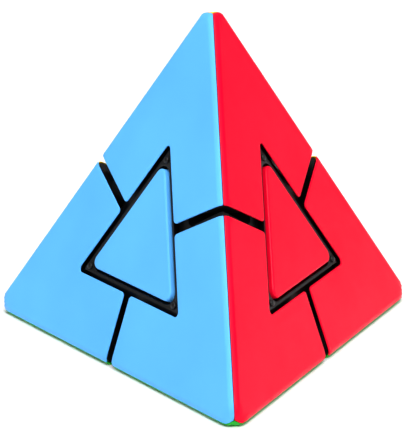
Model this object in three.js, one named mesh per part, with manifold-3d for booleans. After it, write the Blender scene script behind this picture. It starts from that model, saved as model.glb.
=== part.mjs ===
// A pyramid twisty puzzle: four corners that each turn about the axis through their own vertex.
//
// The tetrahedron stands on its green face, with +Z up and the origin at the middle of that face.
// Every piece is modelled about the turning centre, where the four axes meet, and copied by the
// rotations of the tetrahedron. The axis of a vertex carries one corner, three edge pieces and three
// face centres, and all of them lie inside the layer, a solid of revolution about that axis.
//
// From the inside out: the core's ball, the feet of the face centres, the edge pieces that hold the
// feet down, and the corners that hold the edge pieces down. A screw and a spring pull each corner
// towards the core.

import * as THREE from "three";
import { ConvexGeometry } from "three/addons/geometries/ConvexGeometry.js";
import { mergeVertices } from "three/addons/utils/BufferGeometryUtils.js";
import Module from "manifold-3d";

// ---------------------------------------------------------------- driving dimensions, millimetres

const EDGE = 100; // between the sharp vertices, before rounding
const EDGE_ROUNDING = 1.75; // radius along the tetrahedron's edges
const VERTEX_ROUNDING = 5.15; // from the sharp vertex to the rounded tip
const SHELL_THICKNESS = 0.8;
const RIM_THICKNESS = 0.35; // of a shell along the gaps between corners
const RIM_WIDTH = 0.8;
const FIT_GAP = 0.3; // between pieces that are fastened to each other
const SEAM = 0.2; // between two coloured shells of one corner
const RIM_TO_MIDPLANE = 1.15; // half the visible gap between two corners
const RUNNING_GAP = 0.2; // from a layer's boundary to the pieces on either side

const OPENING_INRADIUS = 11.3; // of the layers' triangle in the middle of a face
const CAP_INRADIUS = 9.5;
const CAP_CORNER_RADIUS = 1.8;
const CAP_THICKNESS = 2.6;
const POCKET_INRADIUS = 10.1;
const POCKET_CORNER_RADIUS = 2.4;
const LEDGE_DEPTH = 0.7; // of the rim round the pocket, below the face
const STUD_RADIUS = 0.8;
const STUD_TOP_DEPTH = 0.3; // below the face
const STUD_DISTANCE = 19.2; // from the middle of the face

const BALL_RADIUS = 11.5;
const FOOT_INNER_RADIUS = 12.2;
const FOOT_OUTER_RADIUS = 14.6;
const NECK_OUTER_RADIUS = 17.2;
const FOOT_ANGLE = THREE.MathUtils.degToRad(98);
const NECK_ANGLE = THREE.MathUtils.degToRad(84);
const CONE_PAST_MIDPLANE = 0.8; // how far a layer's cone reaches past its middle plane with the next
const EDGE_PIECE_DEPTH = 2.2; // below the faces

const ARM_RADIUS = 2.2;
const ARM_END = 16.6;
const SCREW_RADIUS = 0.9;
const SCREW_HOLE_RADIUS = 1.2;
const SCREW_START = 6;
const CORNER_START = 17.4; // just past the ends of the core's arms
const WELL_START = 27;
const WELL_RADIUS = 3.6;
const CORNER_TOP = 44;
const SPRING_RADIUS = 2.6;
const SPRING_WIRE_RADIUS = 0.3;
const SPRING_TURNS = 5;
const SPRING_STEPS_PER_TURN = 9;
const SPRING_LENGTH = 8.4;
const WASHER_RADIUS = 3.1;
const WASHER_THICKNESS = 0.7;
const SCREW_HEAD_RADIUS = 2.5;
const SCREW_HEAD_HEIGHT = 1.8;
const CROSS_SLOT_WIDTH = 0.7;
const CROSS_SLOT_LENGTH = 3.2;
const CROSS_SLOT_DEPTH = 1.0;

const LAYER_SEGMENTS = 36;
const BALL_SEGMENTS = 18;
const ROUND_SEGMENTS = 12;
const STUD_SEGMENTS = 10;
const CORNER_SEGMENTS = 4;
const BEYOND = 4 * EDGE; // larger than the puzzle in every direction

// ---------------------------------------------------------------- the tetrahedron about its centre

const HEIGHT = EDGE * Math.sqrt(2 / 3);
const INRADIUS = HEIGHT / 4; // from the centre to a face
const CIRCUMRADIUS = 3 * INRADIUS; // from the centre to a vertex
const MEDIAN = EDGE * Math.sqrt(3) / 2; // from a vertex along a face to the opposite edge
const SIN_VERTICES = Math.sqrt(8) / 3; // sine of the angle between two vertex axes

const AXES = {
  top: new THREE.Vector3(0, 0, 1),
  front: new THREE.Vector3(0, -SIN_VERTICES, -1 / 3),
  left: new THREE.Vector3(-Math.sqrt(2 / 3), SIN_VERTICES / 2, -1 / 3),
  right: new THREE.Vector3(Math.sqrt(2 / 3), SIN_VERTICES / 2, -1 / 3),
};
const VERTICES = Object.keys(AXES);

// Each face is named by the vertex opposite to it.
const FACE_COLOURS = { right: "blue", left: "red", front: "yellow", top: "green" };

const EDGE_PAIRS = [
  ["top", "left"],
  ["top", "front"],
  ["top", "right"],
  ["left", "front"],
  ["left", "right"],
  ["front", "right"],
];

// ---------------------------------------------------------------- materials

const COLOURS = {
  blue: 0x6bc8fd,
  red: 0xf2203f,
  yellow: 0xf7d11e,
  green: 0x30af3a,
  black: 0x17181a,
  steel: 0xb9bcc0,
};

function material(colour) {
  const metal = colour === "steel";
  return new THREE.MeshStandardMaterial({
    color: COLOURS[colour],
    roughness: metal ? 0.3 : 0.42,
    metalness: metal ? 1 : 0,
  });
}

// ---------------------------------------------------------------- solids

const wasm = await Module();
wasm.setup();

function solid(geometry) {
  const bare = geometry.clone();
  bare.deleteAttribute("normal");
  bare.deleteAttribute("uv");
  const merged = mergeVertices(bare, 1e-4);
  return new wasm.Manifold(new wasm.Mesh({
    numProp: 3,
    vertProperties: merged.attributes.position.array,
    triVerts: new Uint32Array(merged.index.array),
  }));
}

function geometryOf(shape) {
  const mesh = shape.getMesh();
  const geometry = new THREE.BufferGeometry();
  geometry.setAttribute("position", new THREE.BufferAttribute(mesh.vertProperties, 3));
  geometry.setIndex(new THREE.BufferAttribute(mesh.triVerts, 1));
  geometry.computeVertexNormals();
  return geometry;
}

// The rotation about the centre that takes one ordered pair of vertices to another.
function turnPair([from, fromSide], [to, toSide]) {
  const basis = (axis, side) => {
    const z = AXES[axis].clone();
    const x = AXES[side].clone().addScaledVector(z, -AXES[side].dot(z)).normalize();
    const y = z.clone().cross(x);
    return new THREE.Matrix4().makeBasis(x, y, z);
  };
  return basis(to, toSide).multiply(basis(from, fromSide).invert());
}

// Everything on the inner side of a plane, which lies at a distance from the centre.
function halfSpace(normal, distance) {
  const box = new THREE.BoxGeometry(BEYOND, BEYOND, BEYOND);
  box.translate(0, 0, distance - BEYOND / 2);
  const up = new THREE.Vector3(0, 0, 1);
  box.applyQuaternion(new THREE.Quaternion().setFromUnitVectors(up, normal.clone().normalize()));
  return solid(box);
}

function between(from, to) {
  return AXES[to].clone().sub(AXES[from]).normalize();
}

// A round shape about the vertical axis, from a closed profile of radius and height.
function turned(profile, segments = ROUND_SEGMENTS) {
  const points = profile.map(([radius, height]) => new THREE.Vector2(radius, height));
  const lathe = new THREE.LatheGeometry(points, segments);
  return lathe.rotateX(Math.PI / 2);
}

function rod(radius, start, end, segments = ROUND_SEGMENTS) {
  return solid(turned([[0, start], [radius, start], [radius, end], [0, end]], segments));
}

// ---------------------------------------------------------------- the outer form

// Twelve sphere centres, three at each vertex, whose hull is the tetrahedron inside its rounding.
function roundingCentres() {
  const inner = CIRCUMRADIUS - 3 * EDGE_ROUNDING;
  const drop = inner - (CIRCUMRADIUS - VERTEX_ROUNDING - EDGE_ROUNDING);
  const step = drop / Math.sqrt(2 / 3);
  const centres = [];
  for (const vertex of VERTICES) {
    for (const other of VERTICES) {
      if (other === vertex) continue;
      const tip = AXES[vertex].clone().multiplyScalar(inner);
      centres.push({ vertex, point: tip.addScaledVector(between(vertex, other), step) });
    }
  }
  return centres;
}

// Directions over the round corner at a vertex, which is bounded by its three faces' normals.
function cornerDirections(vertex, steps) {
  const normals = VERTICES.filter((other) => other !== vertex).map((other) => AXES[other].clone().negate());
  const directions = [];
  for (let i = 0; i <= steps; i++) {
    for (let j = 0; j <= steps - i; j++) {
      const blend = normals[0].clone().multiplyScalar(i);
      blend.addScaledVector(normals[1], j);
      blend.addScaledVector(normals[2], steps - i - j);
      directions.push(blend.normalize());
    }
  }
  return directions;
}

function roundedTetrahedron(depth, steps) {
  const radius = EDGE_ROUNDING - depth;
  const points = [];
  for (const { vertex, point } of roundingCentres()) {
    for (const direction of cornerDirections(vertex, steps)) {
      points.push(point.clone().addScaledVector(direction, radius));
    }
  }
  return solid(new ConvexGeometry(points));
}

// ---------------------------------------------------------------- layers

// A point on a cone about the axis, moved out by growth and lying on a sphere about the centre.
function conePoint(angle, radius, growth) {
  const along = Math.sqrt(radius * radius - growth * growth);
  return [
    growth * Math.cos(angle) + along * Math.sin(angle),
    -growth * Math.sin(angle) + along * Math.cos(angle),
  ];
}

function arc([startX, startY], [endX, endY], steps) {
  const radius = Math.hypot(startX, startY);
  const start = Math.atan2(startX, startY);
  const end = Math.atan2(endX, endY);
  return Array.from({ length: steps + 1 }, (_, i) => {
    const angle = start + (end - start) * i / steps;
    return [radius * Math.sin(angle), radius * Math.cos(angle)];
  });
}

// The side of a face's triangular opening, turned about the layer's axis, at a distance down the face.
function openingCurve(down, growth) {
  const nearSide = 2 / 3 * MEDIAN + OPENING_INRADIUS;
  const halfSide = Math.sqrt(3) * OPENING_INRADIUS;
  const across = halfSide - (nearSide - down) / Math.sqrt(3);
  const radius = Math.hypot(down / 3, across);
  const radiusSlope = (down / 9 + across / Math.sqrt(3)) / radius;
  const slope = Math.hypot(radiusSlope, SIN_VERTICES);
  const normal = [SIN_VERTICES / slope, radiusSlope / slope];
  const height = CIRCUMRADIUS - SIN_VERTICES * down;
  return [radius + growth * normal[0], height + growth * normal[1]];
}

// The profile of a layer about its axis. Growth moves the whole boundary outwards.
function layerProfile(growth) {
  const footRadius = FOOT_OUTER_RADIUS + growth;
  const neckRadius = NECK_OUTER_RADIUS - growth;
  const floor = INRADIUS / 3 - SIN_VERTICES * OPENING_INRADIUS - growth;
  const nearSide = 2 / 3 * MEDIAN + OPENING_INRADIUS;
  const midSide = 2 / 3 * MEDIAN - OPENING_INRADIUS / 2;
  const curveStart = nearSide + (openingCurve(nearSide, growth)[1] - floor) / SIN_VERTICES;
  const curveSteps = 3;
  const curve = Array.from({ length: curveSteps + 1 }, (_, i) => (
    openingCurve(curveStart + (midSide - curveStart) * i / curveSteps, growth)
  ));
  const coneHeight = (radius) => (radius - (CONE_PAST_MIDPLANE + growth) * Math.sqrt(3)) / Math.sqrt(2);
  const innerRadius = curve[curveSteps][0];
  const onFloor = [Math.sqrt(neckRadius ** 2 - floor ** 2), floor];
  return [
    [0, -growth / Math.sin(FOOT_ANGLE)],
    ...arc(conePoint(FOOT_ANGLE, footRadius, growth), conePoint(NECK_ANGLE, footRadius, growth), 2),
    ...arc(conePoint(NECK_ANGLE, neckRadius, growth), onFloor, 2),
    ...curve,
    [innerRadius, coneHeight(innerRadius)],
    [EDGE, coneHeight(EDGE)],
    [EDGE, BEYOND],
    [0, BEYOND],
  ];
}

function layers(growth) {
  const lathe = turned(layerProfile(growth), LAYER_SEGMENTS);
  const onAxis = (vertex) => {
    const side = vertex === "front" ? "top" : "front";
    return solid(lathe.clone().applyMatrix4(turnPair(["top", "front"], [vertex, side])));
  };
  return Object.fromEntries(VERTICES.map((vertex) => [vertex, onAxis(vertex)]));
}

const movingWith = layers(-RUNNING_GAP);
const keptFrom = layers(RUNNING_GAP);
const outerForm = roundedTetrahedron(0, 3);
const underShells = roundedTetrahedron(SHELL_THICKNESS, 1);
const underRims = roundedTetrahedron(RIM_THICKNESS, 1);
const baseForm = roundedTetrahedron(SHELL_THICKNESS + FIT_GAP, 1);
const lipForm = roundedTetrahedron(RIM_THICKNESS + FIT_GAP, 1);
const ballSpace = solid(new THREE.SphereGeometry(FOOT_INNER_RADIUS, BALL_SEGMENTS, BALL_SEGMENTS / 2));

// What lies in each of the layers in one list and in none of the others.
function pieceBetween(form, inside) {
  let piece = form;
  for (const vertex of VERTICES) {
    piece = inside.includes(vertex)
      ? piece.intersect(movingWith[vertex])
      : piece.subtract(keptFrom[vertex]);
  }
  return piece;
}

// ---------------------------------------------------------------- pieces, each in its first place

// The left shell of the top corner, on the face opposite the right vertex.
function cornerShell() {
  let shell = pieceBetween(outerForm.subtract(underShells), ["top"]);
  for (const vertex of ["left", "front"]) {
    const pastRim = halfSpace(between("top", vertex), -RIM_TO_MIDPLANE - RIM_WIDTH);
    shell = shell.intersect(halfSpace(between("top", vertex), -RIM_TO_MIDPLANE));
    shell = shell.subtract(underRims.subtract(pastRim));
  }
  shell = shell.intersect(halfSpace(between("front", "right"), -SEAM / 2));
  shell = shell.intersect(halfSpace(between("left", "right"), -SEAM / 2));
  return geometryOf(shell);
}

// The base of the top corner, with a lip along each gap that fills the step under the shells' rims.
function cornerBase() {
  let form = baseForm;
  for (const vertex of ["left", "front", "right"]) {
    const pastLip = halfSpace(between("top", vertex), FIT_GAP - RIM_TO_MIDPLANE - RIM_WIDTH);
    form = form.add(lipForm.subtract(pastLip));
  }
  let base = pieceBetween(form, ["top"]);
  for (const vertex of ["left", "front", "right"]) {
    base = base.intersect(halfSpace(between("top", vertex), -RIM_TO_MIDPLANE));
  }
  base = base.intersect(halfSpace(AXES.top, CORNER_TOP));
  base = base.intersect(halfSpace(AXES.top.clone().negate(), -CORNER_START));
  base = base.subtract(rod(SCREW_HOLE_RADIUS, 0, WELL_START + 1));
  base = base.subtract(rod(WELL_RADIUS, WELL_START, BEYOND));
  return geometryOf(base);
}

function edgePiece() {
  const facesDepth = INRADIUS - EDGE_PIECE_DEPTH;
  let form = baseForm;
  for (const vertex of VERTICES) {
    form = form.intersect(halfSpace(AXES[vertex].clone().negate(), facesDepth));
  }
  return geometryOf(pieceBetween(form, ["top", "left"]).subtract(ballSpace));
}

// A face centre is modelled on the green face and looks down the axis of the top vertex.
function faceBase() {
  const pocketDepth = CAP_THICKNESS + FIT_GAP;
  let form = outerForm.intersect(halfSpace(AXES.top.clone().negate(), INRADIUS - LEDGE_DEPTH));
  for (const vertex of ["left", "front", "right"]) {
    const side = AXES[vertex].clone().setZ(0).setLength(STUD_DISTANCE);
    const stud = rod(STUD_RADIUS, STUD_TOP_DEPTH - INRADIUS, pocketDepth - INRADIUS, STUD_SEGMENTS);
    form = form.add(stud.translate([side.x, side.y, 0]));
  }
  form = form.subtract(solid(roundedTriangle(POCKET_INRADIUS, POCKET_CORNER_RADIUS, pocketDepth)));
  return geometryOf(pieceBetween(form, ["left", "front", "right"]).subtract(ballSpace));
}

// A triangle with round corners that reaches from the green face to a depth inside it.
function roundedTriangle(inradius, cornerRadius, depth) {
  const tip = 2 * (inradius - cornerRadius);
  const outline = new THREE.Shape();
  for (const vertex of ["left", "front", "right"]) {
    const angle = Math.atan2(AXES[vertex].y, AXES[vertex].x);
    const x = tip * Math.cos(angle);
    const y = tip * Math.sin(angle);
    outline.absarc(x, y, cornerRadius, angle - Math.PI / 3, angle + Math.PI / 3);
  }
  const prism = new THREE.ExtrudeGeometry(outline, {
    depth,
    bevelEnabled: false,
    curveSegments: CORNER_SEGMENTS,
  });
  return prism.translate(0, 0, -INRADIUS);
}

function core() {
  let shape = solid(new THREE.SphereGeometry(BALL_RADIUS, BALL_SEGMENTS, BALL_SEGMENTS / 2));
  for (const vertex of VERTICES) {
    const toAxis = turnPair(["top", "front"], [vertex, vertex === "front" ? "top" : "front"]);
    const arm = turned([[0, 1], [ARM_RADIUS, 1], [ARM_RADIUS, ARM_END], [0, ARM_END]]);
    shape = shape.add(solid(arm.applyMatrix4(toAxis)));
  }
  for (const vertex of VERTICES) {
    const toAxis = turnPair(["top", "front"], [vertex, vertex === "front" ? "top" : "front"]);
    const end = ARM_END + 1;
    const hole = turned([
      [0, SCREW_START],
      [SCREW_HOLE_RADIUS, SCREW_START],
      [SCREW_HOLE_RADIUS, end],
      [0, end],
    ]);
    shape = shape.subtract(solid(hole.applyMatrix4(toAxis)));
  }
  return geometryOf(shape);
}

const SPRING_START = WELL_START + FIT_GAP + SPRING_WIRE_RADIUS;
const WASHER_START = SPRING_START + SPRING_LENGTH + SPRING_WIRE_RADIUS + FIT_GAP;
const HEAD_START = WASHER_START + WASHER_THICKNESS + FIT_GAP;
const HEAD_TOP = HEAD_START + SCREW_HEAD_HEIGHT;

function screw() {
  const profile = [
    [0, SCREW_START + 2 * FIT_GAP],
    [SCREW_RADIUS, SCREW_START + 2 * FIT_GAP + SCREW_RADIUS],
    [SCREW_RADIUS, HEAD_START],
    [SCREW_HEAD_RADIUS, HEAD_START],
    [SCREW_HEAD_RADIUS, HEAD_TOP - SCREW_HEAD_HEIGHT / 2],
    [SCREW_HEAD_RADIUS * 0.7, HEAD_TOP],
    [0, HEAD_TOP],
  ];
  const slot = new THREE.BoxGeometry(CROSS_SLOT_LENGTH, CROSS_SLOT_WIDTH, 2 * CROSS_SLOT_DEPTH);
  slot.translate(0, 0, HEAD_TOP);
  const cross = solid(slot).add(solid(slot.clone().rotateZ(Math.PI / 2)));
  return geometryOf(solid(turned(profile)).subtract(cross));
}

function washer() {
  const end = WASHER_START + WASHER_THICKNESS;
  const profile = [
    [SCREW_HOLE_RADIUS, WASHER_START],
    [WASHER_RADIUS, WASHER_START],
    [WASHER_RADIUS, end],
    [SCREW_HOLE_RADIUS, end],
    [SCREW_HOLE_RADIUS, WASHER_START],
  ];
  return turned(profile);
}

class SpringCurve extends THREE.Curve {
  getPoint(part, target = new THREE.Vector3()) {
    const angle = 2 * Math.PI * SPRING_TURNS * part;
    const height = SPRING_START + SPRING_LENGTH * part;
    return target.set(SPRING_RADIUS * Math.cos(angle), SPRING_RADIUS * Math.sin(angle), height);
  }
}

function spring() {
  const wire = new THREE.Shape().absarc(0, 0, SPRING_WIRE_RADIUS, 0, 2 * Math.PI);
  return new THREE.ExtrudeGeometry(wire, {
    steps: SPRING_TURNS * SPRING_STEPS_PER_TURN,
    curveSegments: 3,
    extrudePath: new SpringCurve(),
  });
}

// ---------------------------------------------------------------- the assembly

const puzzle = new THREE.Group();
puzzle.position.z = INRADIUS;

function place(name, geometry, colour, rotation = new THREE.Matrix4()) {
  const mesh = new THREE.Mesh(geometry, material(colour));
  mesh.name = name;
  mesh.applyMatrix4(rotation);
  puzzle.add(mesh);
}

function assemble() {
  const shapes = {
    shell: cornerShell(),
    cornerBase: cornerBase(),
    edge: edgePiece(),
    faceBase: faceBase(),
    cap: roundedTriangle(CAP_INRADIUS, CAP_CORNER_RADIUS, CAP_THICKNESS),
    screw: screw(),
    washer: washer(),
    spring: spring(),
  };
  place("core", core(), "black");
  for (const vertex of VERTICES) {
    const turn = turnPair(["top", "front"], [vertex, vertex === "front" ? "top" : "front"]);
    place(`screw_${vertex}`, shapes.screw, "steel", turn);
    place(`spring_${vertex}`, shapes.spring, "steel", turn);
    place(`washer_${vertex}`, shapes.washer, "steel", turn);
    place(`corner_${vertex}_base`, shapes.cornerBase, "black", turn);
    for (const opposite of VERTICES) {
      if (opposite === vertex) continue;
      const colour = FACE_COLOURS[opposite];
      const toFace = turnPair(["top", "right"], [vertex, opposite]);
      place(`corner_${vertex}_shell_${colour}`, shapes.shell, colour, toFace);
    }
  }
  for (const [one, other] of EDGE_PAIRS) {
    place(`edge_${one}_${other}`, shapes.edge, "black", turnPair(["top", "left"], [one, other]));
  }
  for (const opposite of VERTICES) {
    const colour = FACE_COLOURS[opposite];
    const turn = turnPair(["top", "front"], [opposite, opposite === "front" ? "top" : "front"]);
    place(`face_${colour}_base`, shapes.faceBase, "black", turn);
    place(`face_${colour}_cap`, shapes.cap, colour, turn);
  }
}

assemble();

export default puzzle;
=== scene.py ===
import math

import bmesh
import bpy
import numpy as np
from mathutils import Matrix, Vector


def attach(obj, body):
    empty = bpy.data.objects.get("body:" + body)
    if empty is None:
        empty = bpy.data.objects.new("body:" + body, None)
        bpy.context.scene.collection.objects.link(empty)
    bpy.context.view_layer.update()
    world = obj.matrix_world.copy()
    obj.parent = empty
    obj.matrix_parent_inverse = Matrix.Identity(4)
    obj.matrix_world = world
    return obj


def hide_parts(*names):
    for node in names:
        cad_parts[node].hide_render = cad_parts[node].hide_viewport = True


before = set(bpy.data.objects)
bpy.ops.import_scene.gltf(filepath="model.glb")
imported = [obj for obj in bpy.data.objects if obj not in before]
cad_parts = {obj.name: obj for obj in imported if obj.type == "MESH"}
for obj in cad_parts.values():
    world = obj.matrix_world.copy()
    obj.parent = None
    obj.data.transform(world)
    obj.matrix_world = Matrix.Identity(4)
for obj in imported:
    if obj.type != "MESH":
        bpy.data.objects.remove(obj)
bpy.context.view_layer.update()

# A pyramid twisty puzzle. Shapes are worked out in millimetres about the turning centre, where the
# four axes meet, and become metres in the frame's own coordinates when a piece is made.
MM = 0.001

# ---------------------------------------------------------------- sizes, as in the CAD model

EDGE = 100.0
HEIGHT = EDGE * math.sqrt(2 / 3)
INRADIUS = HEIGHT / 4
CIRCUMRADIUS = 3 * INRADIUS
MEDIAN = EDGE * math.sqrt(3) / 2
FACE_CIRCUMRADIUS = EDGE / math.sqrt(3)
FACE_INRADIUS = FACE_CIRCUMRADIUS / 2
SIN_VERTICES = math.sqrt(8) / 3
CENTRE = Vector((0, 0, INRADIUS * MM))

EDGE_ROUNDING = 1.75
VERTEX_ROUNDING = 5.15
HALF_EDGE_TURN = math.acos(1 / math.sqrt(3))  # from a face's normal to the middle of the edge's rounding
FLAT_START = EDGE_ROUNDING * math.tan(HALF_EDGE_TURN)  # from the sharp edge to the flat of the face

SHELL_THICKNESS = 0.8
RIM_THICKNESS = 0.35
RIM_WIDTH = 0.8
RIM_TO_MIDPLANE = 1.15
SEAM = 0.14
RUNNING_GAP = 0.2
FIT_GAP = 0.3
VISIBLE_OPENING_INRADIUS = 11.65
OPENING_INRADIUS = 11.3
CAP_INRADIUS = 9.5
CAP_CORNER_RADIUS = 1.8
CAP_THICKNESS = 2.6
POCKET_INRADIUS = 10.1
POCKET_CORNER_RADIUS = 2.4
LEDGE_DEPTH = 0.7
STUD_RADIUS = 0.8
STUD_TOP_DEPTH = 0.15
STUD_DISTANCE = 19.2

FOOT_INNER_RADIUS = 12.2
FOOT_OUTER_RADIUS = 14.6
NECK_OUTER_RADIUS = 17.2
FOOT_ANGLE = math.radians(98)
NECK_ANGLE = math.radians(84)
CONE_PAST_MIDPLANE = 0.8
EDGE_PIECE_DEPTH = 2.2
SCREW_HOLE_RADIUS = 1.2
CORNER_START = 17.4
WELL_START = 27.0
WELL_RADIUS = 3.6
CORNER_TOP = 44.0
BEYOND = 4 * EDGE

# ---------------------------------------------------------------- sizes of the finer shapes

SHARP_ANGLE = math.radians(35)  # faces that meet at more than this keep a sharp edge
SMALLEST_RADIUS = 0.04  # of a corner that is drawn further in
SEAM_RADIUS = 0.1
GAP_RIM_RADIUS = 0.24
OPENING_RIM_RADIUS = 0.2
UNDERCUT_SLOPE = 1.66
STEP_BEVEL = 0.05  # of the step under a shell's thin rim
RIM_BEVEL = 0.04
CAP_RIM_RADIUS = 0.5
CAP_DRAFT = 0.06
CAP_SURFACE_INSET = 0.3
CAP_FOOT_RADIUS = 0.15
CAP_FOOT_BEVEL = 0.04
LEDGE_INRADIUS = 11.1
LEDGE_CORNER_RADIUS = 0.8
LEDGE_RIM_RADIUS = 0.2
LEDGE_HEIGHT = 0.9
PLUG_SPREAD = 50.0
POCKET_BEVEL = 0.2
STUD_DOME = 0.45
STUD_LENGTH = 2.4

RIM_STEPS = 8
CAP_RIM_STEPS = 10
LEDGE_RIM_STEPS = 5
LOWER_STEPS = 7
SURFACE_STEPS = [0.2, 0.35, 0.5, 0.65, 0.8, 0.95, 1.1, 1.25, 1.45, 1.7, 2.0, 2.3, 2.6, 2.9]
UNDERSIDE_STEPS = [0.0, 0.25, 0.5, 0.8, 1.2, 1.6, 2.1]
LAYER_SEGMENTS = 144
CURVE_POINTS = 13
BALL_SEGMENTS = 96
BALL_POINTS = 49
WELL_SEGMENTS = 48
STUD_SEGMENTS = 24
STUD_POINTS = 7

# ---------------------------------------------------------------- camera and studio

CAMERA_AZIMUTH = math.radians(4.669)
CAMERA_ELEVATION = math.radians(17.607)
CAMERA_ROLL = math.radians(-0.153)
CAMERA_DISTANCE = 7.0547 * EDGE * MM
CAMERA_LENS = 261.94
SENSOR_WIDTH = 36
TARGET_RIGHT = -0.0085 * EDGE * MM
TARGET_UP = 0.0893 * EDGE * MM
LIGHT_TARGET = Vector((0, 0, 0.03))
WORLD_STRENGTH = 0.28
FLOOR_SIZE = 6.0

AXES = {
    "top": Vector((0, 0, 1)),
    "front": Vector((0, -SIN_VERTICES, -1 / 3)),
    "left": Vector((-math.sqrt(2 / 3), SIN_VERTICES / 2, -1 / 3)),
    "right": Vector((math.sqrt(2 / 3), SIN_VERTICES / 2, -1 / 3)),
}
VERTICES = list(AXES)
FACE_COLOURS = {"right": "blue", "left": "red", "front": "yellow", "top": "green"}
EDGE_PAIRS = [
    ("top", "left"),
    ("top", "front"),
    ("top", "right"),
    ("left", "front"),
    ("left", "right"),
    ("front", "right"),
]


def turn_pair(source, target):
    """The rotation about the centre that takes one ordered pair of vertices to another."""

    def basis(axis, side):
        z = AXES[axis]
        x = (AXES[side] - z * AXES[side].dot(z)).normalized()
        y = z.cross(x)
        return Matrix((x, y, z)).transposed()

    return basis(*target) @ basis(*source).inverted()


def side_of(vertex):
    return "top" if vertex == "front" else "front"


def between(start, end):
    return (AXES[end] - AXES[start]).normalized()


# ---------------------------------------------------------------- camera, light and floor


def add_camera():
    """A long lens that looks a little down at the front edge, between the blue and red faces."""
    forward = Vector((
        math.sin(CAMERA_AZIMUTH) * math.cos(CAMERA_ELEVATION),
        math.cos(CAMERA_AZIMUTH) * math.cos(CAMERA_ELEVATION),
        -math.sin(CAMERA_ELEVATION),
    ))
    right = Vector((math.cos(CAMERA_AZIMUTH), -math.sin(CAMERA_AZIMUTH), 0))
    up = right.cross(forward)
    target = CENTRE + right * TARGET_RIGHT + up * TARGET_UP
    rolled_right = right * math.cos(CAMERA_ROLL) + up * math.sin(CAMERA_ROLL)
    rolled_up = up * math.cos(CAMERA_ROLL) - right * math.sin(CAMERA_ROLL)
    data = bpy.data.cameras.new("camera")
    data.lens = CAMERA_LENS
    data.sensor_width = SENSOR_WIDTH
    data.clip_start = 0.01
    data.clip_end = 20
    camera = bpy.data.objects.new("camera", data)
    rotation = Matrix((rolled_right, rolled_up, -forward)).transposed().to_4x4()
    camera.matrix_world = Matrix.Translation(target - forward * CAMERA_DISTANCE) @ rotation
    bpy.context.scene.collection.objects.link(camera)
    bpy.context.scene.camera = camera


def add_area_light(name, place, size, power):
    data = bpy.data.lights.new(name, "AREA")
    data.shape = "RECTANGLE"
    data.size, data.size_y = size
    data.energy = power
    light = bpy.data.objects.new(name, data)
    light.location = place
    aim = LIGHT_TARGET - light.location
    light.rotation_euler = aim.to_track_quat("-Z", "Y").to_euler()
    bpy.context.scene.collection.objects.link(light)


def add_light():
    world = bpy.data.worlds.new("studio")
    world.use_nodes = True
    background = world.node_tree.nodes["Background"]
    background.inputs["Color"].default_value = (1, 1, 1, 1)
    background.inputs["Strength"].default_value = WORLD_STRENGTH
    bpy.context.scene.world = world
    add_area_light("key_left", (-0.9, -1.0, 0.75), (0.7, 0.7), 4.2)
    add_area_light("key_right", (1.0, -0.9, 0.75), (0.7, 0.7), 4.2)
    add_area_light("overhead", (0.0, 0.2, 1.3), (1.1, 0.9), 7.0)
    add_area_light("front_strip", (0.03, -1.0, 1.25), (0.75, 0.35), 16.0)


def add_floor():
    mesh = bpy.data.meshes.new("floor")
    half = FLOOR_SIZE / 2
    corners = [(-half, -half, 0), (half, -half, 0), (half, half, 0), (-half, half, 0)]
    mesh.from_pydata(corners, [], [(0, 1, 2, 3)])
    floor = bpy.data.objects.new("floor", mesh)
    bpy.context.scene.collection.objects.link(floor)
    material, shader = new_material("floor_paper")
    shader.inputs["Base Color"].default_value = (0.9, 0.9, 0.9, 1)
    shader.inputs["Roughness"].default_value = 0.9
    mesh.materials.append(material)


# ---------------------------------------------------------------- materials


def new_material(name):
    material = bpy.data.materials.new(name)
    material.use_nodes = True
    return material, material.node_tree.nodes["Principled BSDF"]


class Nodes:
    """Short calls for the shader nodes of one material."""

    def __init__(self, material):
        self.tree = material.node_tree

    def add(self, kind, **inputs):
        node = self.tree.nodes.new(kind)
        for key, value in inputs.items():
            node.inputs[key].default_value = value
        return node

    def link(self, output, target):
        self.tree.links.new(output, target)

    def noise(self, scale, detail=2.0, roughness=0.5):
        coordinates = self.add("ShaderNodeTexCoord")
        noise = self.add("ShaderNodeTexNoise", Scale=scale, Detail=detail, Roughness=roughness)
        self.link(coordinates.outputs["Object"], noise.inputs["Vector"])
        return noise.outputs["Fac"]

    def spread(self, value, low, high, start=0.3, end=0.7):
        """Takes a noise value between start and end to the range from low to high."""
        node = self.add("ShaderNodeMapRange")
        node.inputs["From Min"].default_value = start
        node.inputs["From Max"].default_value = end
        node.inputs["To Min"].default_value = low
        node.inputs["To Max"].default_value = high
        self.link(value, node.inputs["Value"])
        return node.outputs["Result"]

    def blend(self, factor, first, second):
        node = self.tree.nodes.new("ShaderNodeMix")
        node.data_type = "RGBA"
        node.inputs[6].default_value = (*first, 1)
        node.inputs[7].default_value = (*second, 1)
        self.link(factor, node.inputs[0])
        return node.outputs[2]

    def bump(self, height, strength, distance, onto=None):
        node = self.add("ShaderNodeBump", Strength=strength, Distance=distance)
        self.link(height, node.inputs["Height"])
        if onto is not None:
            self.link(onto, node.inputs["Normal"])
        return node.outputs["Normal"]


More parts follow.
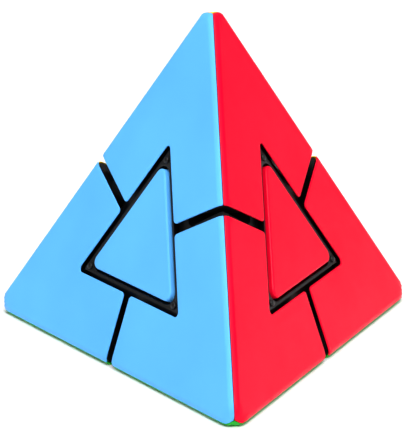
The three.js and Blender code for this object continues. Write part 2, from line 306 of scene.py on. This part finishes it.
def moulded_plastic(name, colour, roughness, specular, grain=0.35):
    """Satin moulded plastic: a fine spark-eroded grain, faint flow waves and handled patches."""
    material, shader = new_material(name)
    nodes = Nodes(material)
    deeper = [channel * 0.94 for channel in colour]
    lighter = [min(1.0, channel * 1.03 + 0.004) for channel in colour]
    flow = nodes.noise(45.0, 3.0)
    nodes.link(nodes.blend(nodes.spread(flow, 0, 1), deeper, lighter), shader.inputs["Base Color"])
    handled = nodes.noise(120.0, 4.0, 0.6)
    roughness_range = nodes.spread(handled, roughness - 0.05, roughness + 0.07)
    nodes.link(roughness_range, shader.inputs["Roughness"])
    grain_bump = nodes.bump(nodes.noise(5200.0, 2.0), grain, 0.00002)
    waves = nodes.bump(nodes.noise(150.0, 1.0), 0.12, 0.0001, grain_bump)
    nodes.link(waves, shader.inputs["Normal"])
    shader.inputs["Specular IOR Level"].default_value = specular
    shader.inputs["IOR"].default_value = 1.5
    return material


def zinc_steel():
    material, shader = new_material("zinc_steel")
    nodes = Nodes(material)
    tone = nodes.spread(nodes.noise(400.0, 4.0), 0, 1)
    nodes.link(nodes.blend(tone, (0.42, 0.42, 0.43), (0.62, 0.61, 0.6)), shader.inputs["Base Color"])
    nodes.link(nodes.spread(nodes.noise(900.0, 3.0), 0.22, 0.4), shader.inputs["Roughness"])
    nodes.link(nodes.bump(nodes.noise(2600.0, 2.0), 0.2, 0.00002), shader.inputs["Normal"])
    shader.inputs["Metallic"].default_value = 1.0
    return material


PLASTICS = {
    "blue": (0.12, 0.445, 0.93),
    "red": (0.82, 0.0, 0.03),
    "yellow": (0.93, 0.62, 0.012),
    "green": (0.028, 0.42, 0.042),
}
MATERIALS = {
    colour: moulded_plastic(f"{colour}_satin", rgb, 0.33, 0.12) for colour, rgb in PLASTICS.items()
}
MATERIALS["black"] = moulded_plastic("black_smooth", (0.004, 0.0038, 0.0044), 0.32, 0.4, 0.2)
MATERIALS["steel"] = zinc_steel()

# ---------------------------------------------------------------- meshes


def new_piece(name, vertices, faces, rotation, colour, body, node):
    """Makes an object from points about the centre in millimetres, and puts it in for a CAD node."""
    turned = np.array(vertices) @ np.array(rotation).T * MM + np.array(CENTRE)
    mesh = bpy.data.meshes.new(name)
    mesh.from_pydata(turned.tolist(), [], faces)
    mesh.validate()
    mesh.update()
    finish_piece(name, mesh, colour, body, node)


def finish_piece(name, mesh, colour, body, node):
    mesh.polygons.foreach_set("use_smooth", [True] * len(mesh.polygons))
    mesh.set_sharp_from_angle(angle=SHARP_ANGLE)
    mesh.materials.clear()
    mesh.materials.append(MATERIALS[colour])
    piece = bpy.data.objects.new(name, mesh)
    bpy.context.scene.collection.objects.link(piece)
    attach(piece, body)
    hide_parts(node)


def rounded_corner(before, after, turn_side, radius, steps):
    """Points of the arc between two lines, each given by a point and its inner normal."""
    (p1, n1), (p2, n2) = before, after
    radius = radius * turn_side
    # The arc's centre is a radius inside both lines, or outside both at a hollow corner.
    a = np.array([n1, n2])
    b = np.array([n1 @ p1 + radius, n2 @ p2 + radius])
    centre = np.linalg.solve(a, b)
    start = math.atan2(*(-n1 * turn_side)[::-1])
    end = math.atan2(*(-n2 * turn_side)[::-1])
    sweep = (end - start + math.pi) % (2 * math.pi) - math.pi
    angles = start + sweep * np.linspace(0, 1, steps)
    return centre + abs(radius) * np.stack([np.cos(angles), np.sin(angles)], axis=1)


class Outline:
    """A polygon with round corners that can be drawn again further in.

    Sides run anticlockwise. Each corner, at a side's end, has a radius and whether it is hollow.
    """

    def __init__(self, corners, radii, hollow, side_steps, corner_steps=8):
        self.corners = [np.array(c, float) for c in corners]
        self.radii = radii
        self.hollow = hollow
        self.side_steps = side_steps
        self.corner_steps = corner_steps
        self.count = len(corners)

    def lines(self, insets):
        found = []
        for i in range(self.count):
            start = self.corners[i]
            direction = self.corners[(i + 1) % self.count] - start
            direction /= np.linalg.norm(direction)
            normal = np.array([-direction[1], direction[0]])
            found.append((start + normal * insets[i], normal))
        return found

    def loop(self, insets, depths):
        """Points of the outline with each side moved in by its inset, and each point's depth."""
        lines = self.lines(insets)
        arcs = []
        for i in range(self.count):
            after = (i + 1) % self.count
            mean_inset = (insets[i] + insets[after]) / 2
            if self.hollow[i]:
                radius = self.radii[i] + max(mean_inset, 0)
            else:
                radius = max(self.radii[i] - mean_inset, SMALLEST_RADIUS)
            turn_side = -1 if self.hollow[i] else 1
            arcs.append(rounded_corner(lines[i], lines[after], turn_side, radius, self.corner_steps))
        points = []
        levels = []
        for i in range(self.count):
            start = arcs[i - 1][-1]
            end = arcs[i][0]
            parts = self.side_steps[i]
            for part in np.linspace(0, 1, parts + 1)[1:-1]:
                points.append(start + (end - start) * part)
                levels.append(depths[i])
            after = (i + 1) % self.count
            for point, part in zip(arcs[i], np.linspace(0, 1, self.corner_steps)):
                points.append(point)
                levels.append(depths[i] + (depths[after] - depths[i]) * part)
        return np.array(points), np.array(levels)


def loft(loops, close_first, close_last):
    """Vertices and faces of a skin over loops with equal numbers of points."""
    count = len(loops[0])
    faces = []
    for k in range(len(loops) - 1):
        for i in range(count):
            j = (i + 1) % count
            faces.append((k * count + i, k * count + j, (k + 1) * count + j, (k + 1) * count + i))
    if close_first:
        faces.append(tuple(range(count))[::-1])
    if close_last:
        last = (len(loops) - 1) * count
        faces.append(tuple(range(last, last + count)))
    return np.concatenate(loops), faces


# ---------------------------------------------------------------- the rounded tetrahedron's surface


class Face:
    """One face's plane: x and y from its middle, y towards its upper vertex, and its outward normal."""

    def __init__(self, opposite, upper):
        self.normal = np.array(-AXES[opposite])
        self.middle = self.normal * INRADIUS
        up = np.array(AXES[upper]) * CIRCUMRADIUS - self.middle
        self.up = up / np.linalg.norm(up)
        self.across = np.cross(self.up, self.normal)
        self.around = [v for v in VERTICES if v != opposite]

    def lift(self, points, depth=0.0):
        """Plane points to space, at one depth below the face or at one for each point."""
        depths = np.broadcast_to(np.asarray(depth, float), (len(points),))
        flat = self.middle + points[:, :1] * self.across + points[:, 1:] * self.up
        return flat - depths[:, None] * self.normal


def rounding_centre(vertex, other):
    """The centre of the rounding sphere near one vertex, on the way to another."""
    inner = CIRCUMRADIUS - 3 * EDGE_ROUNDING
    drop = inner - (CIRCUMRADIUS - VERTEX_ROUNDING - EDGE_ROUNDING)
    step = drop / math.sqrt(2 / 3)
    return np.array(AXES[vertex] * inner + between(vertex, other) * step)


def nearest_on_polygon(points, polygon):
    """The nearest point of a flat convex polygon to each point."""
    middle = polygon.mean(axis=0)
    normal = np.cross(polygon[1] - polygon[0], polygon[2] - polygon[0])
    normal /= np.linalg.norm(normal)
    flat = points - np.outer((points - middle) @ normal, normal)
    inside = np.ones(len(points), bool)
    best = np.full(len(points), np.inf)
    nearest = flat.copy()
    for start, end in zip(polygon, np.roll(polygon, -1, axis=0)):
        along = end - start
        outward = np.cross(along, normal)
        outward *= np.sign(outward @ (start - middle))
        inside &= (flat - start) @ outward <= 0
        part = np.clip((flat - start) @ along / (along @ along), 0, 1)
        candidate = start + part[:, None] * along
        distance = np.linalg.norm(points - candidate, axis=1)
        closer = distance < best
        best[closer] = distance[closer]
        nearest[closer] = candidate[closer]
    nearest[inside] = flat[inside]
    return nearest, np.linalg.norm(points - nearest, axis=1)


def onto_rounded(face, points, depths):
    """Points of a face's plane, pressed onto the rounded tetrahedron and sunk to their depths."""
    a, b, c = face.around
    hexagon = np.array([
        rounding_centre(a, b), rounding_centre(b, a), rounding_centre(b, c),
        rounding_centre(c, b), rounding_centre(c, a), rounding_centre(a, c),
    ])
    lifted = face.lift(points)
    nearest, distance = nearest_on_polygon(lifted, hexagon)
    for vertex in face.around:
        tip = np.array([rounding_centre(vertex, other) for other in VERTICES if other != vertex])
        on_tip, tip_distance = nearest_on_polygon(lifted, tip)
        closer = tip_distance < distance - 1e-9
        nearest[closer] = on_tip[closer]
        distance[closer] = tip_distance[closer]
    normals = (lifted - nearest) / distance[:, None]
    return nearest + normals * (EDGE_ROUNDING - depths)[:, None]


def inset_on_rounding(arc):
    """How far in from the sharp edge a point lies that is an arc's length from the edge's middle line."""
    full = EDGE_ROUNDING * HALF_EDGE_TURN
    if arc >= full:
        return FLAT_START + arc - full
    return FLAT_START - EDGE_ROUNDING * math.tan(HALF_EDGE_TURN - arc / EDGE_ROUNDING)


# ---------------------------------------------------------------- coloured shells and caps


def quarter_round(radius, steps):
    """Inset and depth over a rounded rim, from its wall to the surface."""
    angles = np.linspace(math.pi / 2, 0, steps)
    return [(radius * (1 - math.sin(t)), radius * (1 - math.cos(t))) for t in angles]


def undercut_round(radius, slope, steps):
    """The same for a rim whose wall leans back under the surface, by a slope of inset to depth."""
    turn = math.pi / 2 + math.atan(slope)
    angles = np.linspace(turn, 0, steps)
    return [(radius * (1 - math.sin(t)), radius * (1 - math.cos(t))) for t in angles]


def underside_inset(radius, slope):
    """How far in a leaning wall meets a shell's underside."""
    inset, depth = undercut_round(radius, slope, 2)[0]
    return inset + slope * (SHELL_THICKNESS - depth)


def wall(low_inset, low_depth, high_inset, high_depth):
    """Evenly spaced points up a shell's wall, which stop short of the rim above."""
    parts = np.arange(LOWER_STEPS) / LOWER_STEPS
    return [
        (low_inset + (high_inset - low_inset) * t, low_depth + (high_depth - low_depth) * t) for t in parts
    ]


def shell_outline():
    """The kite of one shell in its face's plane, round the face's upper vertex."""
    tip = (0, FACE_CIRCUMRADIUS)
    edge_angle = math.radians(150)
    mid_left = FACE_INRADIUS * np.array([math.cos(edge_angle), math.sin(edge_angle)])
    along_edge = np.array([0.5, math.sqrt(3) / 2])  # from the left vertex to the upper one
    gap_outer = mid_left + along_edge * RIM_TO_MIDPLANE
    inward = -mid_left / np.linalg.norm(mid_left)
    gap_inner = gap_outer + inward * (FACE_INRADIUS - VISIBLE_OPENING_INRADIUS)
    opening_top = (0, 2 * VISIBLE_OPENING_INRADIUS)
    mirrored = [np.array([-p[0], p[1]]) for p in (gap_inner, gap_outer)]
    corners = [tip, gap_outer, gap_inner, opening_top, *mirrored]
    # Each radius is at the end of its side: gap_outer, gap_inner, opening_top and so on round to the tip.
    return Outline(
        corners,
        radii=[0.45, 0.9, 0.95, 0.9, 0.45, 0.1],
        hollow=[False, False, True, False, False, False],
        side_steps=[22, 12, 10, 10, 12, 22],
    )


def shell_mesh():
    """A shell of the top corner on the face opposite the right vertex."""
    face = Face("right", "top")
    outline = shell_outline()
    kinds = ["seam", "gap", "opening", "opening", "gap", "seam"]
    rims = {
        "seam": quarter_round(SEAM_RADIUS, RIM_STEPS),
        "gap": quarter_round(GAP_RIM_RADIUS, RIM_STEPS),
        "opening": undercut_round(OPENING_RIM_RADIUS, UNDERCUT_SLOPE, RIM_STEPS),
    }

    def side_inset(kind, inset):
        return inset_on_rounding(inset + SEAM / 2) if kind == "seam" else inset

    def drawn(pairs):
        insets = [side_inset(kind, pair[0]) for kind, pair in zip(kinds, pairs)]
        points, depths = outline.loop(insets, [pair[1] for pair in pairs])
        return onto_rounded(face, points, depths)

    # From the underside's edge out to the rim: up the step of a gap's thin rim, or along the wall.
    lean = underside_inset(OPENING_RIM_RADIUS, UNDERCUT_SLOPE)
    lower_rims = {
        "seam": wall(0.0, SHELL_THICKNESS, 0.0, SEAM_RADIUS),
        "gap": [
            (RIM_WIDTH, SHELL_THICKNESS),
            (RIM_WIDTH, SHELL_THICKNESS - STEP_BEVEL),
            (RIM_WIDTH, RIM_THICKNESS + STEP_BEVEL),
            (RIM_WIDTH, RIM_THICKNESS),
            (RIM_WIDTH - STEP_BEVEL, RIM_THICKNESS),
            (RIM_BEVEL, RIM_THICKNESS),
            (0.0, RIM_THICKNESS - RIM_BEVEL),
        ],
        "opening": wall(lean, SHELL_THICKNESS, *rims["opening"][0]),
    }
    loops = []
    for step in reversed(UNDERSIDE_STEPS[1:]):
        loops.append(drawn([(lower_rims[kind][0][0] + step, SHELL_THICKNESS) for kind in kinds]))
    for i in range(LOWER_STEPS):
        loops.append(drawn([lower_rims[kind][i] for kind in kinds]))
    for i in range(RIM_STEPS):
        loops.append(drawn([rims[kind][i] for kind in kinds]))
    for step in SURFACE_STEPS:
        loops.append(drawn([(rims[kind][-1][0] + step, 0.0) for kind in kinds]))
    return loft(loops, True, True)


def triangle_outline(inradius, corner_radius, side_steps=8, corner_steps=12):
    corners = [2 * inradius * np.array([math.cos(a), math.sin(a)]) for a in np.radians([90, 210, 330])]
    return Outline(corners, [corner_radius] * 3, [False] * 3, [side_steps] * 3, corner_steps)


def cap_mesh():
    """The cap of the face opposite the top vertex, whose plane's y runs towards the front vertex."""
    face = Face("top", "front")
    outline = triangle_outline(CAP_INRADIUS, CAP_CORNER_RADIUS)
    foot_round = [
        (CAP_FOOT_RADIUS, CAP_THICKNESS),
        (CAP_FOOT_BEVEL, CAP_THICKNESS - CAP_FOOT_BEVEL),
        (0.0, CAP_THICKNESS - CAP_FOOT_RADIUS),
    ]
    rim = [(inset + CAP_DRAFT, depth) for inset, depth in quarter_round(CAP_RIM_RADIUS, CAP_RIM_STEPS)]
    surface = [(CAP_RIM_RADIUS + CAP_DRAFT + CAP_SURFACE_INSET, 0.0)]
    loops = []
    for inset, depth in foot_round + rim + surface:
        points, depths = outline.loop([inset] * 3, [depth] * 3)
        loops.append(face.lift(points, depths))
    return loft(loops, True, True)


def add_shells_and_caps():
    vertices, faces = shell_mesh()
    for vertex in VERTICES:
        for opposite in VERTICES:
            if opposite == vertex:
                continue
            colour = FACE_COLOURS[opposite]
            turn = turn_pair(("top", "right"), (vertex, opposite))
            node = f"corner_{vertex}_shell_{colour}"
            new_piece(f"shell_{vertex}_{colour}", vertices, faces, turn, colour, f"corner_{vertex}", node)
    vertices, faces = cap_mesh()
    for opposite in VERTICES:
        colour = FACE_COLOURS[opposite]
        turn = turn_pair(("top", "front"), (opposite, side_of(opposite)))
        new_piece(f"cap_{colour}", vertices, faces, turn, colour, f"face_{colour}", f"face_{colour}_cap")


# ---------------------------------------------------------------- black pieces, cut from fine solids


def loose_object(name, vertices, faces):
    mesh = bpy.data.meshes.new(name)
    mesh.from_pydata([tuple(v) for v in vertices], [], faces)
    mesh.update()
    made = bpy.data.objects.new(name, mesh)
    bpy.context.scene.collection.objects.link(made)
    return made


def cut(target, tool, operation):
    """Joins, cuts or intersects target with tool, and leaves tool as it was."""
    modifier = target.modifiers.new(operation, "BOOLEAN")
    modifier.operation = operation
    modifier.solver = "MANIFOLD"
    modifier.object = tool
    bpy.context.view_layer.update()
    evaluated = target.evaluated_get(bpy.context.evaluated_depsgraph_get())
    result = bpy.data.meshes.new_from_object(evaluated)
    target.modifiers.clear()
    old = target.data
    target.data = result
    bpy.data.meshes.remove(old)


def copy_of(source, name):
    made = bpy.data.objects.new(name, source.data.copy())
    bpy.context.scene.collection.objects.link(made)
    return made


def lathe_solid(name, profile, segments, rotation=None):
    """A closed solid of revolution about the vertical axis, from axis to axis."""
    rings = profile[1:-1]
    vertices = [(0, 0, profile[0][1])]
    for radius, height in rings:
        for i in range(segments):
            angle = 2 * math.pi * i / segments - math.pi / 2
            vertices.append((radius * math.cos(angle), radius * math.sin(angle), height))
    vertices.append((0, 0, profile[-1][1]))
    last = len(vertices) - 1
    faces = []
    for i in range(segments):
        j = (i + 1) % segments
        faces.append((0, 1 + j, 1 + i))
        for k in range(len(rings) - 1):
            a = 1 + k * segments
            b = a + segments
            faces.append((a + i, a + j, b + j, b + i))
        top = 1 + (len(rings) - 1) * segments
        faces.append((top + i, top + j, last))
    points = np.array(vertices)
    if rotation is not None:
        points = points @ np.array(rotation).T
    return loose_object(name, points, faces)


def half_space(name, normal, distance):
    """A large block whose one side is the plane at that distance along the normal."""
    rotation = Vector((0, 0, 1)).rotation_difference(Vector(normal)).to_matrix()
    half = BEYOND / 2
    corners = []
    for z in (distance - BEYOND, distance):
        corners += [(-half, -half, z), (half, -half, z), (half, half, z), (-half, half, z)]
    faces = [(3, 2, 1, 0), (4, 5, 6, 7), (0, 1, 5, 4), (1, 2, 6, 5), (2, 3, 7, 6), (3, 0, 4, 7)]
    return loose_object(name, np.array(corners) @ np.array(rotation).T, faces)


def cone_point(angle, radius, growth):
    along = math.sqrt(radius * radius - growth * growth)
    return (
        growth * math.cos(angle) + along * math.sin(angle),
        -growth * math.sin(angle) + along * math.cos(angle),
    )


def arc_points(start, end, steps):
    radius = math.hypot(*start)
    angles = np.linspace(math.atan2(start[0], start[1]), math.atan2(end[0], end[1]), steps + 1)
    return [(radius * math.sin(a), radius * math.cos(a)) for a in angles]


def opening_curve(down, growth):
    """The side of a face's triangular opening turned about a layer's axis, at a distance down the face."""
    near_side = 2 / 3 * MEDIAN + OPENING_INRADIUS
    half_side = math.sqrt(3) * OPENING_INRADIUS
    across = half_side - (near_side - down) / math.sqrt(3)
    radius = math.hypot(down / 3, across)
    radius_slope = (down / 9 + across / math.sqrt(3)) / radius
    slope = math.hypot(radius_slope, SIN_VERTICES)
    height = CIRCUMRADIUS - SIN_VERTICES * down
    return radius + growth * SIN_VERTICES / slope, height + growth * radius_slope / slope


def layer_profile(growth):
    """A layer's boundary about its axis, moved out by growth."""
    foot_radius = FOOT_OUTER_RADIUS + growth
    neck_radius = NECK_OUTER_RADIUS - growth
    floor = INRADIUS / 3 - SIN_VERTICES * OPENING_INRADIUS - growth
    near_side = 2 / 3 * MEDIAN + OPENING_INRADIUS
    mid_side = 2 / 3 * MEDIAN - OPENING_INRADIUS / 2
    curve_start = near_side + (opening_curve(near_side, growth)[1] - floor) / SIN_VERTICES
    curve = [opening_curve(down, growth) for down in np.linspace(curve_start, mid_side, CURVE_POINTS)]

    def cone_height(radius):
        return (radius - (CONE_PAST_MIDPLANE + growth) * math.sqrt(3)) / math.sqrt(2)

    inner_radius = curve[-1][0]
    on_floor = (math.sqrt(neck_radius**2 - floor**2), floor)
    foot_start = cone_point(FOOT_ANGLE, foot_radius, growth)
    foot_end = cone_point(NECK_ANGLE, foot_radius, growth)
    neck_start = cone_point(NECK_ANGLE, neck_radius, growth)
    return [
        (0, -growth / math.sin(FOOT_ANGLE)),
        *arc_points(foot_start, foot_end, 5),
        *arc_points(neck_start, on_floor, 6),
        *curve,
        (inner_radius, cone_height(inner_radius)),
        (EDGE, cone_height(EDGE)),
        (EDGE, BEYOND),
        (0, BEYOND),
    ]


def make_layers(name, growth):
    profile = layer_profile(growth)
    made = {}
    for vertex in VERTICES:
        turn = turn_pair(("top", "front"), (vertex, side_of(vertex)))
        made[vertex] = lathe_solid(f"{name}_{vertex}", profile, LAYER_SEGMENTS, turn)
    return made


def piece_between(piece, inside, moving, kept):
    for vertex in VERTICES:
        if vertex in inside:
            cut(piece, moving[vertex], "INTERSECT")
        else:
            cut(piece, kept[vertex], "DIFFERENCE")
    return piece


def hull_object(name, points):
    made = bmesh.new()
    for point in points:
        made.verts.new(point)
    result = bmesh.ops.convex_hull(made, input=made.verts)
    unused = [v for v in result["geom_interior"] if isinstance(v, bmesh.types.BMVert)]
    bmesh.ops.delete(made, geom=unused, context="VERTS")
    bmesh.ops.recalc_face_normals(made, faces=made.faces)
    mesh = bpy.data.meshes.new(name)
    made.to_mesh(mesh)
    made.free()
    solid = bpy.data.objects.new(name, mesh)
    bpy.context.scene.collection.objects.link(solid)
    return solid


def remove(*objects):
    for item in objects:
        mesh = item.data
        bpy.data.objects.remove(item)
        bpy.data.meshes.remove(mesh)


def rounded_form(name, depth):
    """The rounded tetrahedron at a depth under its surface."""
    points = []
    radius = EDGE_ROUNDING - depth
    for vertex in VERTICES:
        for other in VERTICES:
            if other == vertex:
                continue
            centre = rounding_centre(vertex, other)
            points.append(centre + np.array(AXES[vertex]) * radius)
            # The rounding sphere's own points, on the directions of the faces and edges it joins.
            for opposite in VERTICES:
                if opposite == vertex:
                    continue
                face_normal = -AXES[opposite]
                points.append(centre + np.array(face_normal) * radius)
                for second in VERTICES:
                    if second not in (vertex, opposite):
                        for part in (0.25, 0.5, 0.75):
                            mixed = face_normal.lerp(-AXES[second], part).normalized()
                            points.append(centre + np.array(mixed) * radius)
    return hull_object(name, points)


def corner_base(form, moving, kept):
    """The base of the top corner, with a lip along each gap that fills the step under the shells' rims."""
    form = copy_of(form, "corner_base")
    for vertex in ("left", "front", "right"):
        lip = rounded_form("lip_form", RIM_THICKNESS + FIT_GAP)
        past_lip = half_space("lip_plane", between("top", vertex), FIT_GAP - RIM_TO_MIDPLANE - RIM_WIDTH)
        cut(lip, past_lip, "DIFFERENCE")
        cut(form, lip, "UNION")
        remove(lip, past_lip)
    base = piece_between(form, ["top"], moving, kept)
    for vertex in ("left", "front", "right"):
        rim = half_space("rim_plane", between("top", vertex), -RIM_TO_MIDPLANE)
        cut(base, rim, "INTERSECT")
        remove(rim)
    top = half_space("top_plane", AXES["top"], CORNER_TOP)
    bottom = half_space("bottom_plane", -AXES["top"], -CORNER_START)
    well_profile = [
        (0, 0),
        (SCREW_HOLE_RADIUS, 0),
        (SCREW_HOLE_RADIUS, WELL_START),
        (WELL_RADIUS, WELL_START),
        (WELL_RADIUS, BEYOND),
        (0, BEYOND),
    ]
    well = lathe_solid("well", well_profile, WELL_SEGMENTS)
    cut(base, top, "INTERSECT")
    cut(base, bottom, "INTERSECT")
    cut(base, well, "DIFFERENCE")
    remove(top, bottom, well)
    return base


def edge_piece(form, moving, kept, ball):
    piece = piece_between(copy_of(form, "edge_piece"), ["top", "left"], moving, kept)
    cut(piece, ball, "DIFFERENCE")
    return piece


def face_plug():
    """A block with a round-rimmed ledge round the cap's pocket, before the layers bound it."""
    face = Face("top", "front")
    outer = triangle_outline(LEDGE_INRADIUS, LEDGE_CORNER_RADIUS)
    pocket = triangle_outline(POCKET_INRADIUS, POCKET_CORNER_RADIUS)
    pocket_depth = CAP_THICKNESS + FIT_GAP
    loops = []

    def draw(outline, inset, depth):
        points, depths = outline.loop([inset] * 3, [depth] * 3)
        loops.append(face.lift(points, depths))

    draw(outer, -PLUG_SPREAD, PLUG_SPREAD)
    draw(outer, -PLUG_SPREAD, LEDGE_DEPTH + LEDGE_HEIGHT)
    draw(outer, 0, LEDGE_DEPTH + LEDGE_HEIGHT)
    for inset, depth in quarter_round(LEDGE_RIM_RADIUS, LEDGE_RIM_STEPS):
        draw(outer, inset, LEDGE_DEPTH + depth)
    for inset, depth in reversed(quarter_round(LEDGE_RIM_RADIUS, LEDGE_RIM_STEPS)):
        draw(pocket, -inset, LEDGE_DEPTH + depth)
    draw(pocket, 0.0, pocket_depth - POCKET_BEVEL)
    draw(pocket, POCKET_BEVEL, pocket_depth)
    return loft(loops, True, True)


def stud(place):
    """A short round peg with a domed top, which stands on the green face's ledge and points down."""
    start = -INRADIUS + STUD_TOP_DEPTH
    profile = [(0, start)]
    for angle in np.linspace(0, math.pi / 2, STUD_POINTS)[1:]:
        radius = STUD_RADIUS - STUD_DOME + STUD_DOME * math.sin(angle)
        profile.append((radius, start + STUD_DOME * (1 - math.cos(angle))))
    profile.append((STUD_RADIUS, start + STUD_LENGTH))
    profile.append((0, start + STUD_LENGTH))
    made = lathe_solid("stud", profile, STUD_SEGMENTS)
    for vertex in made.data.vertices:
        vertex.co.x += place.x
        vertex.co.y += place.y
    return made


def face_base(moving, kept, ball):
    base = loose_object("face_base", *face_plug())
    studs = []
    for vertex in ("left", "front", "right"):
        side = Vector((AXES[vertex].x, AXES[vertex].y)).normalized() * STUD_DISTANCE
        studs.append(stud(side))
        cut(base, studs[-1], "UNION")
    piece_between(base, ["left", "front", "right"], moving, kept)
    cut(base, ball, "DIFFERENCE")
    remove(*studs)
    return base


def place_copy(source, name, turn, colour, body, node):
    """A turned copy of a finished piece, in place of a CAD node."""
    mesh = source.data.copy()
    matrix = Matrix.Translation(CENTRE) @ (turn.to_4x4() @ Matrix.Scale(MM, 4))
    mesh.transform(matrix)
    mesh.update()
    finish_piece(name, mesh, colour, body, node)


def add_black_pieces():
    moving = make_layers("moving", -RUNNING_GAP)
    kept = make_layers("kept", RUNNING_GAP)
    form = rounded_form("base_form", SHELL_THICKNESS + FIT_GAP)
    planes = []
    edge_form = copy_of(form, "edge_form")
    for vertex in VERTICES:
        planes.append(half_space("face_plane", -AXES[vertex], INRADIUS - EDGE_PIECE_DEPTH))
        cut(edge_form, planes[-1], "INTERSECT")
    ball_arc = [
        (math.sin(a) * FOOT_INNER_RADIUS, -math.cos(a) * FOOT_INNER_RADIUS)
        for a in np.linspace(0, math.pi, BALL_POINTS)[1:-1]
    ]
    ball_profile = [(0, -FOOT_INNER_RADIUS), *ball_arc, (0, FOOT_INNER_RADIUS)]
    ball = lathe_solid("ball_space", ball_profile, BALL_SEGMENTS)
    base = corner_base(form, moving, kept)
    edge = edge_piece(edge_form, moving, kept, ball)
    centre = face_base(moving, kept, ball)
    for vertex in VERTICES:
        turn = turn_pair(("top", "front"), (vertex, side_of(vertex)))
        place_copy(base, f"base_{vertex}", turn, "black", f"corner_{vertex}", f"corner_{vertex}_base")
        colour = FACE_COLOURS[vertex]
        place_copy(centre, f"centre_{colour}", turn, "black", f"face_{colour}", f"face_{colour}_base")
    for one, other in EDGE_PAIRS:
        turn = turn_pair(("top", "left"), (one, other))
        node = f"edge_{one}_{other}"
        place_copy(edge, f"edge_piece_{one}_{other}", turn, "black", node, node)
    remove(*moving.values(), *kept.values(), *planes, form, edge_form, ball, base, edge, centre)


# ---------------------------------------------------------------- CAD nodes that stay


def finish_cad_nodes():
    for name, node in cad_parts.items():
        if name.startswith(("screw_", "spring_", "washer_")):
            colour = "steel"
        elif name == "core":
            colour = "black"
        else:
            continue
        node.data.materials.clear()
        node.data.materials.append(MATERIALS[colour])


add_camera()
add_light()
add_floor()
add_shells_and_caps()
add_black_pieces()
finish_cad_nodes()
bpy.context.scene.view_settings.view_transform = "Standard"
bpy.context.scene.view_settings.look = "Medium High Contrast"
